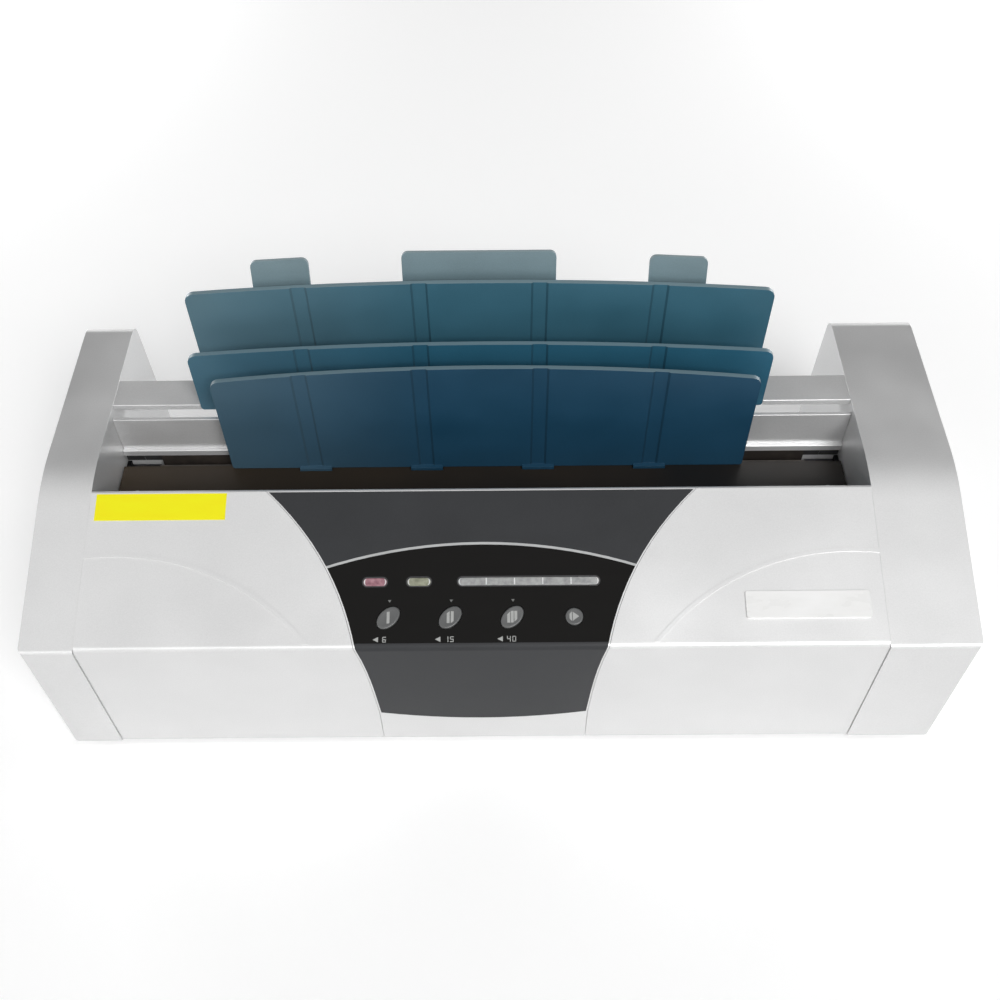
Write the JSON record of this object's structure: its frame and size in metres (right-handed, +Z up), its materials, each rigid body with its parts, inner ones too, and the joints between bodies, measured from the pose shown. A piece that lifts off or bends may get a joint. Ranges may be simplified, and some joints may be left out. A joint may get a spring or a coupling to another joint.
{
  "type": "thermal binding machine",
  "caption": "Desktop thermal document binder: sloping control panel, motor-driven clamp over a heater plate, mains inlet and a rear cooling rack.",
  "frame": {"origin": "on the table, under the middle of the overall width and depth", "axes": "+X to the right seen from the front, +Y to the rear, +Z up"},
  "size_m": [0.43, 0.19, 0.188],
  "materials": {
    "silver_plastic": "satin, lightly textured",
    "cover_plastic": "satin",
    "panel_plastic": "satin",
    "base_plastic": "textured",
    "rubber": "matt",
    "charcoal_plastic": "fine texture",
    "window_film": "gloss",
    "trim_silver": "satin",
    "bezel_silver": "gloss",
    "power_lens": "translucent, cloudy",
    "insert_lens": "translucent, cloudy",
    "progress_lens": "translucent, cloudy",
    "button_plastic": "satin",
    "circuit_board": "solder resist",
    "switch_plastic": "satin",
    "led_lens": "clear",
    "screw_steel": "zinc plated",
    "yellow_label": "satin film",
    "name_plastic": "gloss",
    "bar_plastic": "satin",
    "teal_plastic": "satin",
    "deck_steel": "satin black",
    "silicone": "matt",
    "zinc_steel": "zinc plated",
    "ground_steel": "ground",
    "bronze": "sintered",
    "acetal": "natural",
    "motor_steel": "zinc plated",
    "aluminium": "mill finish",
    "mica": "laminated",
    "phenolic": "moulded",
    "sensor_body": "ceramic",
    "transformer": "lacquered laminations",
    "components": "moulded",
    "ribbon": "flexible",
    "inlet_plastic": "moulded",
    "rocker_plastic": "moulded"
  },
  "bodies": {
    "chassis": {"base_plate": "base_plastic", "rubber_feet": "rubber", "left_end_housing": "silver_plastic", "right_end_housing": "silver_plastic", "left_wing_cover": "cover_plastic", "right_wing_cover": "cover_plastic", "centre_cover": "panel_plastic", "panel_fascia": "charcoal_plastic", "display_window": "window_film", "panel_trim": "trim_silver", "lens_bezels": "bezel_silver", "power_lens": "power_lens", "insert_lens": "insert_lens", "progress_lens": "progress_lens", "control_board": "circuit_board", "tact_switches": "switch_plastic", "indicator_leds": "led_lens", "board_screws": "screw_steel", "yellow_sticker": "yellow_label", "name_strip": "name_plastic", "rear_panel": "silver_plastic", "crossbar": "bar_plastic", "middle_plate": "teal_plastic", "rear_plate": "teal_plastic", "tabbed_plate": "teal_plastic", "rack_screws": "screw_steel", "fixed_jaw": "deck_steel", "fixed_pad": "silicone", "left_side_frame": "zinc_steel", "right_side_frame": "zinc_steel", "guide_rods": "ground_steel", "shaft_bushes": "bronze", "gear_motor": "motor_steel", "motor_bracket": "zinc_steel", "heater_plate": "aluminium", "heating_element": "mica", "heater_tray": "phenolic", "thermal_sensors": "sensor_body", "power_board": "circuit_board", "mains_transformer": "transformer", "board_components": "components", "ribbon_cable": "ribbon", "power_inlet": "inlet_plastic", "switch_frame": "inlet_plastic", "housing_screws": "screw_steel"},
    "clamp": {"clamp_plate": "teal_plastic", "clamp_deck": "deck_steel", "clamp_pad": "silicone", "left_carriage": "zinc_steel", "right_carriage": "zinc_steel", "clamp_screws": "screw_steel"},
    "drive": {"drive_shaft": "ground_steel", "rack_pinions": "zinc_steel", "drive_gear": "acetal"},
    "motor_output": {"motor_pinion": "zinc_steel"},
    "button_thin": {"button_thin": "button_plastic"},
    "button_medium": {"button_medium": "button_plastic"},
    "button_thick": {"button_thick": "button_plastic"},
    "button_reset": {"button_reset": "button_plastic"},
    "rocker": {"switch_rocker": "rocker_plastic"}
  },
  "joints": [
    {"name": "clamp_slide", "type": "slide", "parent": "chassis", "child": "clamp", "axis": [0, -1, 0], "range_m": [-0.003, 0.0355]},
    {"name": "drive_turn", "type": "hinge", "parent": "chassis", "child": "drive", "pos_m": [0, -0.029, 0.044], "axis": [1, 0, 0], "range_deg": [-17, 194.5]},
    {"name": "motor_turn", "type": "hinge", "parent": "chassis", "child": "motor_output", "pos_m": [0.1833, 0.0026, 0.044], "axis": [1, 0, 0], "range_deg": [-388, 33.5]},
    {"name": "button_thin_press", "type": "slide", "parent": "chassis", "child": "button_thin", "axis": [0, 0.3074, -0.9516], "range_m": [0, 0.0008], "stiffness_N_per_m": 150},
    {"name": "button_medium_press", "type": "slide", "parent": "chassis", "child": "button_medium", "axis": [0, 0.3074, -0.9516], "range_m": [0, 0.0008], "stiffness_N_per_m": 150},
    {"name": "button_thick_press", "type": "slide", "parent": "chassis", "child": "button_thick", "axis": [0, 0.3074, -0.9516], "range_m": [0, 0.0008], "stiffness_N_per_m": 150},
    {"name": "button_reset_press", "type": "slide", "parent": "chassis", "child": "button_reset", "axis": [0, 0.3074, -0.9516], "range_m": [0, 0.0008], "stiffness_N_per_m": 150},
    {"name": "switch_rock", "type": "hinge", "parent": "chassis", "child": "rocker", "pos_m": [0.1944, 0.08972, 0.07994], "axis": [1, 0, 0], "range_deg": [0, 16]}
  ],
  "couplings": [
    {"joint": "drive_turn", "follows": "clamp_slide", "rad_per_m": 95.238},
    {"joint": "motor_turn", "follows": "clamp_slide", "rad_per_m": -190.48}
  ]
}
